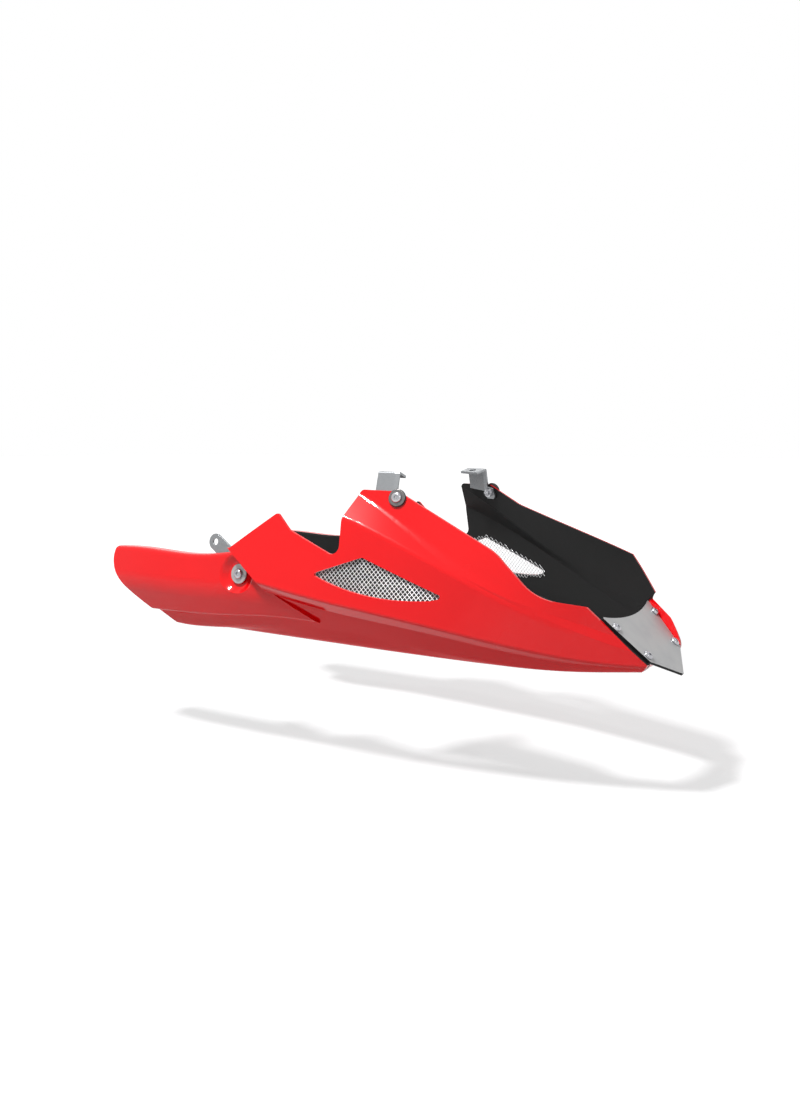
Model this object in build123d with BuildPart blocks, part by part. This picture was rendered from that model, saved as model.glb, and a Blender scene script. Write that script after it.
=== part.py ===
"""Motorcycle belly pan: two moulded half shells, a front plate, grilles, brackets and fasteners.

X runs forward, Y to the rider's left, Z up. The left half is drawn at +Y and mirrored to the right.
"""
import os
from math import copysign, cos, hypot, radians, sin, sqrt, tan

from build123d import *

os.makedirs("parts", exist_ok=True)

# Shell, overall
WALL = 3.0                 # moulded sheet
HALF_WIDTH = 174.5         # widest point of the side crease
WIDEST_X = -150.0          # where that point lies
PLAN_CURVE = 5.25e-4       # how fast the crease closes in towards the nose, per mm squared
PANEL_LEAN = 12.0          # degrees the side panel leans inward at the rear
NOSE_X = 260.0             # where the side panel has come upright
LIP_WIDTH = 14.0           # inward return along the lower edge
SHARP_INSIDE = 8.0         # roundings trimmed less than this stay square on the inside
MIN_RADIUS = 0.6
HEAD = 4.0                 # how far the hollow runs on past the end of a section line
REACH = 60.0               # how far the hollow runs past the open inboard side
NOSE_REACH = 420.0
SPREAD = 300.0             # sideways reach of the trimming outlines
ABOVE = 330.0              # over and under everything, where those outlines close
BELOW = -60.0
SIDE = Plane.XZ.offset(SPREAD)
TAIL_EDGE = [(-334, 128), (-351, 94), (-323, 57), (-230, -20)]

# Front plate
PLATE_SUM = 346.8          # x + z on the plate's outer face
PLATE_T = 3.0
PLATE_TOP_W = 70.5
PLATE_SIDE_W = 50.0
PLATE_SIDE_S = 28.5        # up the slope from the tip
PLATE_TOP_S = 92.5
PLATE_DIP = 10.3           # hollow of the upper edge
PLATE_ROUND = 2.0
SEAT_SUM = PLATE_SUM - sqrt(2) * PLATE_T
PLATE_GAP = 0.8            # round the plate, inside the left rim
LOWER_CLEAR = 30.0         # how far behind the plate's lower edge the shells stay open
FLANGE_FOOT = 16.5
FLANGE_TOP = 60.0          # height of the flanges behind the plate
NOSE_EDGE = [(306, 2), (321, 11), (326, 20), (323, 30), (313, 47), (297, 68), (273, 101), (256, 122)]
NOSE_INSIDE = [(303, 2), (318.5, 12.5)]

# Seven even stations of the upper panel, rear to front: crease height, ridge above it, then the
# (up, in) steps to shoulder and crown, the (in, down) step of the undercut, and the block's depth
UPPER_SPAN = (-175.0, 425.0)
UPPER = [
    (97.0, 98.0, (33.0, 23.0), (20.0, 2.5), (22.0, 20.0), 76.0),
    (80.5, 98.0, (33.0, 23.0), (20.0, 2.5), (22.0, 20.0), 76.0),
    (63.6, 91.0, (27.5, 24.0), (35.0, 4.2), (22.0, 20.0), 72.0),
    (45.8, 63.5, (10.0, 8.0), (54.0, 23.0), (19.5, 17.5), 64.0),
    (25.5, 36.0, (13.5, 3.2), (68.0, 14.0), (12.0, 10.0), 43.0),
    (14.2, 9.5, (16.0, 0.6), (95.0, 4.0), (8.0, 3.0), 31.0),
    (9.0, 8.0, (15.0, 0.5), (100.0, 3.0), (8.0, 2.0), 30.0),
]

# Seven even stations of the lower panel: half width and height of its edge, then of its inner top
LOWER_SPAN = (-300.0, 420.0)
LOWER = [
    ((141.0, 25.0), (147.0, 46.0)),
    ((140.5, 19.6), (149.5, 48.0)),
    ((135.0, 17.2), (159.0, 70.0)),
    ((122.5, 12.6), (143.8, 56.3)),
    ((101.5, 7.5), (109.0, 30.0)),
    ((62.0, 7.5), (66.0, 18.0)),
    ((8.0, 9.0), (10.0, 19.0)),
]

# Seven even stations of the rear blade: half width and height of its top, belly and heel
BLADE_SPAN = (-390.0, 30.0)
BLADE = [
    ((157.0, 117.0), (163.0, 72.0), (149.0, 36.5)),
    ((158.4, 113.8), (165.2, 71.0), (151.3, 35.2)),
    ((158.5, 111.0), (165.6, 70.0), (152.5, 35.4)),
    ((157.6, 112.5), (164.6, 70.0), (152.5, 37.5)),
    ((156.0, 123.0), (163.2, 69.5), (152.0, 42.0)),
    ((149.0, 120.0), (157.5, 61.0), (149.3, 42.2)),
    ((136.0, 108.0), (146.0, 54.0), (140.0, 39.0)),
]
BLADE_ROLL = 16.0          # inward return along the blade's top
BLADE_FRONT = [(-12, 32.5), (-95, 78), (-84, 160), (-420, 160)]   # slanting front edge, then over its top
RECESS_EDGE = [(-97, 84), (-145, 122), (-240, 198)]   # rear edge of the upper panel, over the blade

# Shallow dish round the screw that holds the blade
BLADE_SCREW = (-139.0, 90.5)
DISH_DEEP = 7.0
DISH_FLOOR = 12.5          # radius of its flat floor
DISH_RIM = 28.0            # radius where it runs out into the skin

# The step between panel and blade is open inboard of this box's reach
STEP_PLACE = (-120.0, 100.0)
STEP_SIZE = (100.0, 80.0)
STEP_REACH = 141.0


def step(start, end):
    """Unit direction from one section point to the next."""
    run = hypot(end[0] - start[0], end[1] - start[1])
    return (end[0] - start[0]) / run, (end[1] - start[1]) / run


def inset(points, depth):
    """Move a section line inward by depth and run both its ends on past the block."""
    ways = [step(a, b) for a, b in zip(points, points[1:])]
    ways = [ways[0]] + ways + [ways[-1]]
    moved = []
    for point, before, after in zip(points, ways, ways[1:]):
        share = depth / (1 + before[0] * after[0] + before[1] * after[1])
        moved.append((point[0] + share * (before[1] + after[1]), point[1] - share * (before[0] + after[0])))
    first, last = moved[0], moved[-1]
    moved[0] = (first[0] - HEAD * ways[0][0], first[1] - HEAD * ways[0][1])
    moved[-1] = (last[0] + HEAD * ways[-1][0], last[1] + HEAD * ways[-1][1])
    return moved


def rounding(points, trims, depth):
    """Radius at each corner that trims the set length off its sides, moved in by depth."""
    ways = [step(a, b) for a, b in zip(points, points[1:])]
    radii = []
    for before, after, trim in zip(ways, ways[1:], trims):
        bend = before[0] * after[1] - before[1] * after[0]
        radius = trim * (1 + before[0] * after[0] + before[1] * after[1]) / abs(bend)
        radii.append(max(radius + copysign(depth, bend), MIN_RADIUS))
    return radii


def block(sections, depth=0.0):
    """Loft a block through its sections; with a depth, the hollow that leaves a wall so thick."""
    with BuildPart() as body:
        for x, points, trims, back in sections:
            line = inset(points, depth) if depth else points
            rear = back - REACH if depth else back
            with BuildSketch(Plane.YZ.offset(x)):
                with BuildLine():
                    if depth and max(trims) < SHARP_INSIDE:
                        Polyline(*line)
                    else:
                        FilletPolyline(*line, radius=rounding(points, trims, depth))
                    Polyline(line[-1], (rear, line[-1][1]), (rear, line[0][1]), line[0])
                make_face()
        loft()
    return body.part


def stations(span, rows):
    """Pair each row of a table with its even station along the span."""
    pitch = (span[1] - span[0]) / (len(rows) - 1)
    return [(span[0] + index * pitch, *row) for index, row in enumerate(rows)]


def crease_y(x):
    """Half width of the side crease at a station."""
    return HALF_WIDTH - PLAN_CURVE * (x - WIDEST_X) ** 2


def upper_sections():
    """Side panel: crown, shoulder, ridge, crease and the undercut below it."""
    sections = []
    for x, height, rise, shoulder, crown, under, width in stations(UPPER_SPAN, UPPER):
        crease = (crease_y(x), height)
        lean = tan(radians(PANEL_LEAN * max(0.02, min(1, 1 - x / NOSE_X))))
        ridge = (crease[0] - rise * lean, height + rise)
        step_in = (ridge[0] - shoulder[1], ridge[1] + shoulder[0])
        top = (step_in[0] - crown[1], step_in[1] + crown[0])
        foot = (crease[0] - under[0], height - under[1])
        back = crease[0] - width
        line = [top, step_in, ridge, crease, foot, (back + 2, foot[1])]
        sections.append((x, line, [5, 3, 2.5, 1], back))
    return sections


def lower_sections():
    """Lower panel with its return lip."""
    sections = []
    for x, edge, top in stations(LOWER_SPAN, LOWER):
        lip = edge[0] - LIP_WIDTH
        sections.append((x, [top, edge, (lip, edge[1])], [4], lip - 4))
    return sections


def blade_sections():
    """Rear blade, rolled over at the top and undercut at the heel."""
    sections = []
    for x, top, belly, heel in stations(BLADE_SPAN, BLADE):
        back = top[0] - BLADE_ROLL
        line = [(back + 1, top[1]), top, belly, heel, (back + 1, heel[1] - 1)]
        sections.append((x, line, [5, 12, 2], back))
    return sections


def keep_view(depth):
    """Side view of the whole body from its rounded tail to its nose, pulled in by depth."""
    tail = [(x + depth, z) for x, z in TAIL_EDGE]
    flange = SEAT_SUM - sqrt(2) * depth
    with BuildSketch(SIDE) as view:
        with BuildLine():
            Spline(*tail)
            if depth:
                nose = NOSE_INSIDE + [(flange - FLANGE_FOOT, FLANGE_FOOT), (flange - FLANGE_TOP, FLANGE_TOP)]
                nose = nose + [(NOSE_REACH, FLANGE_TOP)]
                Polyline(*nose)
            else:
                nose = NOSE_EDGE
                Spline(*nose)
            Polyline(tail[-1], (nose[0][0], tail[-1][1]), nose[0])
            Polyline(nose[-1], (nose[-1][0], ABOVE), (tail[0][0], ABOVE), tail[0])
        make_face()
    return view.sketch


def recess_view(depth):
    """Side view of what is taken off the upper panel behind the recess, grown by depth."""
    with BuildSketch(SIDE) as view:
        with BuildLine():
            Polyline((RECESS_EDGE[0][0], BELOW), *RECESS_EDGE, (RECESS_EDGE[-1][0], BELOW), close=True)
        make_face()
        if depth:
            offset(amount=depth, kind=Kind.INTERSECTION)
    return view.sketch


def blade_view(depth):
    """Side view of the blade up to its slanting front edge, pulled in by depth."""
    with BuildSketch(SIDE) as view:
        with BuildLine():
            Polyline(*BLADE_FRONT, *[(x, BELOW) for x in (BLADE_FRONT[-1][0], BLADE_FRONT[0][0])], close=True)
        make_face()
        if depth:
            offset(amount=-depth, kind=Kind.INTERSECTION)
    return view.sketch


def trimmed(solid, keep, away=None):
    """Cut a block to a side view, and take another side view away from it."""
    with BuildPart() as cut:
        add(solid)
        if away is not None:
            extrude(away, amount=2 * SPREAD, dir=(0, 1, 0), mode=Mode.SUBTRACT)
        for view in keep:
            extrude(view, amount=2 * SPREAD, dir=(0, 1, 0), mode=Mode.INTERSECT)
    return cut.part


def seat_on(shape, place):
    """Plane on the outer skin at a side-view place: x rearward, y up, normal outward."""
    line = Axis((place[0], SPREAD, place[1]), (0, -1, 0))
    hits = sorted(shape.find_intersection_points(line), key=lambda hit: -hit[0].Y)
    point, normal = hits[0]
    if normal.Y < 0:
        normal = normal * -1
    return Plane(origin=point, x_dir=normal * normal.X - Vector(1, 0, 0), z_dir=normal)


blade_block = block(blade_sections())
dish_seat = seat_on(blade_block, BLADE_SCREW)


def dish(depth):
    """Flat-floored dish in the blade with an S-curved wall, sunk by depth more for the hollow behind it."""
    floor = -DISH_DEEP - depth
    with BuildPart() as turned:
        with BuildSketch(Plane(dish_seat.origin, x_dir=dish_seat.x_dir, z_dir=dish_seat.y_dir * -1)):
            with BuildLine():
                Polyline((0, HEAD), (0, floor), (DISH_FLOOR, floor))
                Spline((DISH_FLOOR, floor), (DISH_RIM, -depth), tangents=[(1, 0), (1, 0)])
                Polyline((DISH_RIM, -depth), (DISH_RIM, HEAD), (0, HEAD))
            make_face()
        revolve(axis=Axis(dish_seat.origin, dish_seat.z_dir))
    return turned.part


def body(depth=0.0):
    """Solid side body, or with a depth the hollow inside it."""
    whole = keep_view(depth)
    upper = trimmed(block(upper_sections(), depth), [whole], recess_view(depth))
    lower = trimmed(block(lower_sections(), depth), [whole])
    blade = block(blade_sections(), depth) if depth else blade_block
    with BuildPart() as joined:
        add(trimmed(blade, [whole, blade_view(depth)]))
        add(dish(depth), mode=Mode.SUBTRACT)
        add(upper)
        add(lower)
    return joined.part


# Upper outlines seen from the side, nose to tail, with the rounding at each corner between the ends
FIN = [(56, 191.6), (11, 192.8), (2, 160), (3.5, 116.5), (-62, 146.5), (-80.2, 165.6), (-143, 122.3)]
FIN_ROUNDS = [7, 5, 25, 9, 14, 4]
RIGHT_NOSE = [(400, 56.8), (219.6, 82.1), (171.8, 129.1)]
RIGHT_ROUNDS = [60, 60]
LEFT_NOSE = [(400, 117), (260, 117), (100, 168)]
LEFT_ROUNDS = [10, 40]
FIN_TAIL = (-220, 130)     # behind the last corner, where the cut runs out
VENT = [(112, 76.3), (128, 80.5), (32, 119.5), (-28, 98.8)]
VENT_SAG = (58, 76.2)      # on the vent's curved lower edge
VENT_ROUND = 2.5


def top_view(nose, rounds):
    """Side view of everything above the upper outline."""
    outline = nose + FIN
    with BuildSketch(SIDE) as view:
        with BuildLine():
            FilletPolyline(*outline, radius=rounds + FIN_ROUNDS)
            Polyline(outline[-1], FIN_TAIL, (FIN_TAIL[0], ABOVE), (outline[0][0], ABOVE), outline[0])
        make_face()
    return view.sketch


def vent_view(grow=0.0):
    """Side view of the vent opening, grown for the sheet behind it."""
    with BuildSketch(SIDE) as view:
        with BuildLine():
            Polyline(*VENT)
            ThreePointArc(VENT[-1], VENT_SAG, VENT[0])
        make_face()
        fillet(view.vertices(), radius=VENT_ROUND)
        if grow:
            offset(amount=grow)
    return view.sketch


# Fasteners
BOLT_R = 3.0               # M6
CLEAR_R = 3.3
HEAD_R = 6.0
HEAD_H = 3.6
PLATE_HEAD_R = 5.25
PLATE_HEAD_H = 3.3
SOCKET_FLATS = 4.0
SOCKET_DEEP = 1.8
NUT_FLATS = 10.0
NUT_H = 5.0
TAIL = 2.0                 # thread showing past a nut
PAD_T = 1.5                # soft washer
PAD_GAP = 0.1              # under it, on the slightly curved skin
DISC_T = 1.5               # metal washer
FIN_DISC_R = 9.7
FIN_PAD_R = 10.2
BLADE_DISC_R = 11.7
BLADE_PAD_R = 11.0
PLATE_SCREWS = [(60.0, 76.0), (44.0, 35.0)]   # sideways and up the slope from the tip
FIN_SCREW = (57.0, 184.0)

# Brackets
STRAP_T = 3.0
STRAP_GAP = 0.3           # to the shell's inner face
MOUNT_R = 4.25             # M8 clearance
FIN_STRAP = [(30, 31), (30, 4), (9, 1), (5, -9), (-5, -9), (-8, -5), (-5, 5), (3, 7), (3, 31)]
FIN_STRAP_BEND = 8.0       # behind here the strap leans inboard, clear of the wall
FIN_STRAP_LEAN = 0.1
FIN_FOOT = 20.0            # inboard foot of the top bracket
FIN_FOOT_HOLE = (16.5, 12.0)   # behind the screw and in from the wall
BEND_R = 2.5
BLADE_STRAP_L = 65.0
BLADE_STRAP_W = 20.0
BLADE_STRAP_TURN = 34.0
JOGGLE = 8.0
JOGGLE_START = 11.0
JOGGLE_END = 27.0

# Grille
SHEET_T = 1.0
SHEET_GAP = 0.25
SHEET_LAP = 6.0
GAP_PITCH = (14.0, 8.0)
GAP_SIZE = (11.2, 6.0)
GAP_LEAST = 7.0            # cut-off gaps smaller than this stay closed
GAP_CENTRE = (50.0, 98.0)
DIAMOND = [(1, 0), (0, 1), (-1, 0), (0, -1)]
GAP_COUNT = (13, 7)

PLATE_SEAT = Plane(
    origin=(SEAT_SUM - 0.4 + PLATE_T / sqrt(2), 0, 0.4 - PLATE_T / sqrt(2)), x_dir=(0, 1, 0), z_dir=(1, 0, 1)
)


def plate_outline(grow=0.0):
    """Shield outline of the front plate, on its seat."""
    with BuildSketch(PLATE_SEAT) as view:
        with BuildLine():
            Polyline(
                (-PLATE_TOP_W, PLATE_TOP_S), (-PLATE_SIDE_W, PLATE_SIDE_S), (0, 0),
                (PLATE_SIDE_W, PLATE_SIDE_S), (PLATE_TOP_W, PLATE_TOP_S),
            )
            ThreePointArc(
                (PLATE_TOP_W, PLATE_TOP_S), (0, PLATE_TOP_S - PLATE_DIP), (-PLATE_TOP_W, PLATE_TOP_S)
            )
        make_face()
        fillet(view.vertices(), radius=PLATE_ROUND)
        if grow:
            offset(amount=grow)
    return view.sketch


# One hollow half, before its outlines are cut
solid_half = body()
hollow_half = body(WALL)
with BuildPart() as half:
    add(solid_half)
    add(hollow_half, mode=Mode.SUBTRACT)
    with BuildSketch(Plane.XZ):
        with Locations(STEP_PLACE):
            Rectangle(*STEP_SIZE)
    extrude(amount=-STEP_REACH, mode=Mode.SUBTRACT)
    extrude(vent_view(), amount=2 * SPREAD, dir=(0, 1, 0), mode=Mode.SUBTRACT)
    with BuildSketch(PLATE_SEAT):
        with Locations(*PLATE_SCREWS):
            Circle(CLEAR_R)
    extrude(amount=2 * WALL, both=True, mode=Mode.SUBTRACT)


fin_seat = seat_on(half.part, FIN_SCREW)
blade_seat = seat_on(half.part, BLADE_SCREW)


def on_bend(edge):
    """Whether an edge lies along the outside of the top bracket's bend."""
    ends = [fin_seat.to_local_coords(vertex.center()) for vertex in edge.vertices()]
    return all(abs(end.Y - FIN_STRAP[0][1]) < 0.01 and end.Z > -FIN_FOOT / 2 for end in ends)


def side_shell(outline):
    """Half shell with its upper outline and bolt holes cut, clear of the plate's lower edge."""
    with BuildPart() as shell:
        add(half.part)
        extrude(outline, amount=2 * SPREAD, dir=(0, 1, 0), mode=Mode.SUBTRACT)
        for seat in (fin_seat, blade_seat):
            with BuildSketch(seat):
                Circle(CLEAR_R)
            extrude(amount=3 * WALL, both=True, mode=Mode.SUBTRACT)
        with BuildSketch(PLATE_SEAT.offset(-LOWER_CLEAR)):
            with BuildLine():
                Polyline(
                    (0, 0), (PLATE_SIDE_W, PLATE_SIDE_S), (PLATE_SIDE_W, -PLATE_TOP_S), (0, -PLATE_TOP_S),
                    close=True,
                )
            make_face()
        extrude(amount=3 * LOWER_CLEAR, mode=Mode.SUBTRACT)
    return shell.part


with BuildPart() as side_shell_left:
    add(side_shell(top_view(LEFT_NOSE, LEFT_ROUNDS)))
    extrude(plate_outline(PLATE_GAP), amount=2 * LOWER_CLEAR, dir=(1, 0, 1), mode=Mode.SUBTRACT)
with BuildPart() as right_drawn:
    add(side_shell(top_view(RIGHT_NOSE, RIGHT_ROUNDS)))
    with BuildSketch(PLATE_SEAT):
        Rectangle(4 * PLATE_TOP_W, 6 * PLATE_TOP_S)
    extrude(amount=3 * LOWER_CLEAR, mode=Mode.SUBTRACT)
with BuildPart() as side_shell_right:
    mirror(right_drawn.part, about=Plane.XZ)

# Front plate
with BuildPart() as front_plate:
    extrude(plate_outline(), amount=PLATE_T, dir=(1, 0, 1))
    with BuildSketch(PLATE_SEAT):
        with Locations(*[(side * w, s) for w, s in PLATE_SCREWS for side in (-1, 1)]):
            Circle(CLEAR_R)
    extrude(amount=PLATE_T, mode=Mode.SUBTRACT)

# Vent grilles: a thin sheet close behind the panel, cut through with staggered diamonds
sheet_block = block(upper_sections(), WALL + SHEET_GAP)
sheet_inside = trimmed(sheet_block, [vent_view(2 * SHEET_LAP)]).moved(Location((0, -SHEET_T, 0)))
with BuildSketch(SIDE) as gaps:
    for shift in (0, 0.5):
        with Locations((GAP_CENTRE[0] + shift * GAP_PITCH[0], GAP_CENTRE[1] + shift * GAP_PITCH[1])):
            with GridLocations(*GAP_PITCH, *GAP_COUNT):
                Polygon(*[(GAP_SIZE[0] / 2 * x, GAP_SIZE[1] / 2 * y) for x, y in DIAMOND])
    add(vent_view(), mode=Mode.INTERSECT)
open_gaps = gaps.sketch.faces().filter_by(lambda gap: gap.area > GAP_LEAST)
with BuildPart() as vent_grille_left:
    add(trimmed(sheet_block, [vent_view(SHEET_LAP)]))
    add(sheet_inside, mode=Mode.SUBTRACT)
    extrude(open_gaps, amount=2 * SPREAD, dir=(0, 1, 0), mode=Mode.SUBTRACT)
with BuildPart() as vent_grille_right:
    mirror(vent_grille_left.part, about=Plane.XZ)

# Top brackets: a strap behind the fin, leaning in behind its bend, with a foot turned inboard on top
strap_rear, strap_top = FIN_STRAP[0]
strap_front = FIN_STRAP[-1][0]
lean = FIN_STRAP_LEAN * (strap_rear - FIN_STRAP_BEND)
strap_out = -WALL - STRAP_GAP
strap_in = strap_out - STRAP_T
strap_face = [(-FIN_STRAP_BEND, strap_out), (FIN_STRAP_BEND, strap_out), (strap_rear, strap_out - lean)]
foot_end = strap_out - FIN_FOOT
strap_across = Plane(fin_seat.origin, x_dir=fin_seat.x_dir, z_dir=fin_seat.y_dir * -1)
with BuildPart() as top_bracket_left:
    with BuildSketch(strap_across):
        with BuildLine():
            Polyline(*strap_face, *[(x, n - STRAP_T) for x, n in reversed(strap_face)], close=True)
        make_face()
    extrude(amount=2 * strap_top, both=True)
    with BuildSketch(fin_seat):
        with BuildLine():
            Polyline(*FIN_STRAP, close=True)
        make_face()
    extrude(amount=-FIN_FOOT, mode=Mode.INTERSECT)
    with BuildSketch(strap_across.offset(-strap_top)):
        with BuildLine():
            Polyline(
                (strap_front, strap_out), *strap_face[1:], (strap_rear, foot_end), (strap_front, foot_end),
                close=True,
            )
        make_face()
    extrude(amount=STRAP_T)
    bends = [edge for edge in top_bracket_left.edges() if on_bend(edge)]
    fillet(bends, radius=BEND_R)
    with BuildSketch(strap_across.offset(-strap_top)):
        with Locations((FIN_FOOT_HOLE[0], strap_out - FIN_FOOT_HOLE[1])):
            Circle(MOUNT_R)
    extrude(amount=STRAP_T, mode=Mode.SUBTRACT)
    with BuildSketch(fin_seat):
        Circle(CLEAR_R)
    extrude(amount=-3 * WALL, mode=Mode.SUBTRACT)
with BuildPart() as top_bracket_right:
    mirror(top_bracket_left.part, about=Plane.XZ)

# Rear brackets: a strap from the blade screw, joggled inboard past the blade's rolled edge
turn = radians(BLADE_STRAP_TURN)
along = blade_seat.x_dir * cos(turn) + blade_seat.y_dir * sin(turn)
strap_plane = Plane(blade_seat.origin, x_dir=along, z_dir=blade_seat.z_dir)
strap_edge = Plane(blade_seat.origin, x_dir=along, z_dir=strap_plane.y_dir * -1)
strap_line = [(-BLADE_STRAP_W, 0), (JOGGLE_START, 0), (JOGGLE_END, -JOGGLE), (2 * BLADE_STRAP_L, -JOGGLE)]
with BuildPart() as rear_bracket_left:
    with BuildSketch(strap_edge):
        with BuildLine():
            outer = Polyline(*[(u, n + strap_out) for u, n in strap_line])
            offset(outer, amount=-STRAP_T, side=Side.RIGHT)
        make_face()
    extrude(amount=BLADE_STRAP_W, both=True)
    with BuildSketch(strap_plane):
        with Locations((BLADE_STRAP_L / 2, 0)):
            SlotCenterToCenter(BLADE_STRAP_L, BLADE_STRAP_W)
    extrude(amount=-2 * JOGGLE, mode=Mode.INTERSECT)
    with BuildSketch(strap_plane):
        Circle(CLEAR_R)
        with Locations((BLADE_STRAP_L, 0)):
            Circle(MOUNT_R)
    extrude(amount=-2 * JOGGLE, mode=Mode.SUBTRACT)
with BuildPart() as rear_bracket_right:
    mirror(rear_bracket_left.part, about=Plane.XZ)


def button_screw(radius, height, length):
    """Domed screw with a hexagon socket, its head resting on z = 0."""
    with BuildPart() as screw:
        with BuildSketch(Plane.XZ):
            with BuildLine():
                Polyline(
                    (0.5 * radius, height), (0, height), (0, -length), (BOLT_R, -length), (BOLT_R, 0),
                    (radius, 0), (radius, 0.3 * height),
                )
                ThreePointArc((radius, 0.3 * height), (0.83 * radius, 0.75 * height), (0.5 * radius, height))
            make_face()
        revolve(axis=Axis.Z)
        with BuildSketch(Plane.XY.offset(height)):
            RegularPolygon(SOCKET_FLATS / 2, 6, major_radius=False)
        extrude(amount=-SOCKET_DEEP, mode=Mode.SUBTRACT)
    return screw.part


def ring(radius, thickness):
    """Washer lying on z = 0."""
    with BuildPart() as washer:
        Cylinder(radius, thickness, align=(Align.CENTER, Align.CENTER, Align.MIN))
        Hole(CLEAR_R)
    return washer.part


def hex_nut():
    """Nut hanging below z = 0."""
    with BuildPart() as nut:
        with BuildSketch():
            RegularPolygon(NUT_FLATS / 2, 6, major_radius=False)
            Circle(BOLT_R, mode=Mode.SUBTRACT)
        extrude(amount=-NUT_H)
    return nut.part


def both_sides(piece, places):
    """Copies of a fastener at its places on the left and their mirror images on the right."""
    with BuildPart() as group:
        for place in places:
            add(place * piece)
        mirror(about=Plane.XZ)
    return group.part


# Fasteners: at the fin and the blade a screw over metal and soft washers, with a nut behind the strap
plate_places = [PLATE_SEAT.location * Pos(w, s) for w, s in PLATE_SCREWS]
plate_screw = button_screw(PLATE_HEAD_R, PLATE_HEAD_H, PLATE_T + WALL + NUT_H + TAIL)
head_rise = PAD_GAP + PAD_T + DISC_T
strap_screw = button_screw(HEAD_R, HEAD_H, head_rise - strap_in + NUT_H + TAIL)
fin_place = [fin_seat.location]
blade_place = [blade_seat.location]
on_skin = Pos(0, 0, PAD_GAP)
on_pad = Pos(0, 0, PAD_GAP + PAD_T)
on_disc = Pos(0, 0, head_rise)
behind_strap = Pos(0, 0, strap_in)

pieces = {
    "side_shell_right": side_shell_right.part,
    "side_shell_left": side_shell_left.part,
    "front_plate": front_plate.part,
    "vent_grille_right": vent_grille_right.part,
    "vent_grille_left": vent_grille_left.part,
    "top_bracket_right": top_bracket_right.part,
    "top_bracket_left": top_bracket_left.part,
    "rear_bracket_right": rear_bracket_right.part,
    "rear_bracket_left": rear_bracket_left.part,
    "plate_screws": both_sides(Pos(0, 0, PLATE_T) * plate_screw, plate_places),
    "plate_nuts": both_sides(Pos(0, 0, -WALL) * hex_nut(), plate_places),
    "fin_screws": both_sides(on_disc * strap_screw, fin_place),
    "fin_washers": both_sides(on_pad * ring(FIN_DISC_R, DISC_T), fin_place),
    "fin_soft_washers": both_sides(on_skin * ring(FIN_PAD_R, PAD_T), fin_place),
    "fin_nuts": both_sides(behind_strap * hex_nut(), fin_place),
    "blade_screws": both_sides(on_disc * strap_screw, blade_place),
    "blade_washers": both_sides(on_pad * ring(BLADE_DISC_R, DISC_T), blade_place),
    "blade_soft_washers": both_sides(on_skin * ring(BLADE_PAD_R, PAD_T), blade_place),
    "blade_nuts": both_sides(behind_strap * hex_nut(), blade_place),
}

# The frame's origin is under the middle of the whole pan
boxes = [piece.bounding_box() for piece in pieces.values()]
rear_end = min(box.min.X for box in boxes)
front_end = max(box.max.X for box in boxes)
lowest = min(box.min.Z for box in boxes)
to_frame = Location((-(rear_end + front_end) / 2, 0, -lowest))
for name, piece in pieces.items():
    placed = piece.moved(to_frame)
    placed.label = name
    export_step(placed, f"parts/{name}.step")
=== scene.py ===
"""Studio picture of a motorcycle belly pan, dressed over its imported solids.

Everything is in metres in the part's own frame: X forward, Y to the rider's left, Z up.
"""

import logging
import math
from dataclasses import dataclass, field
from enum import Enum

import bmesh
import bpy
import numpy as np
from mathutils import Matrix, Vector
from mathutils.bvhtree import BVHTree
from mathutils.geometry import barycentric_transform

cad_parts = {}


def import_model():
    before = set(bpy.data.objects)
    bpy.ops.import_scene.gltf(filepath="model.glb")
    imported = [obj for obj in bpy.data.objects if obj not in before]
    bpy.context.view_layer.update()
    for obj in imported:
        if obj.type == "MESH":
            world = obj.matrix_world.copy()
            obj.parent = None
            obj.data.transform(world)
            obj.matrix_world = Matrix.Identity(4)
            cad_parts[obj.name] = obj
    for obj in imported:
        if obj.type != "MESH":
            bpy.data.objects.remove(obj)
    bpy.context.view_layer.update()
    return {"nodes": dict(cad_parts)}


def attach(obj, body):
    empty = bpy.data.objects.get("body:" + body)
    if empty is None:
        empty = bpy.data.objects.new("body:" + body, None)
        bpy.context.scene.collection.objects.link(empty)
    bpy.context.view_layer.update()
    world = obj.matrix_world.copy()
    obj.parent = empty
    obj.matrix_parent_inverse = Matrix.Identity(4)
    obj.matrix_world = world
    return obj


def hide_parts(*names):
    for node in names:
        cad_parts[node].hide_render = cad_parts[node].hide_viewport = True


log = logging.getLogger("belly_pan")

MERGE = 0.00002
CRISP = 35.0       # degrees; edges that turn more are shaded crisp
FLAT_DOT = 0.999   # faces whose normals agree so well lie in one plane


class Side(Enum):
    """Which half of the pan a piece belongs to, with the sign of its Y."""

    RIGHT = -1
    LEFT = 1

    @property
    def word(self) -> str:
        """The side's name as the nodes spell it.

        Returns:
            The name in small letters.
        """
        return self.name.lower()


class Slot(Enum):
    """Material slots of the part's record."""

    SHELL = "shell_gloss"
    PLATE = "plate_metal"
    MESH = "mesh_metal"
    BRACKET = "bracket_steel"
    FASTENER = "fastener_steel"
    RUBBER = "soft_rubber"


# Shared shader groups


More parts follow.
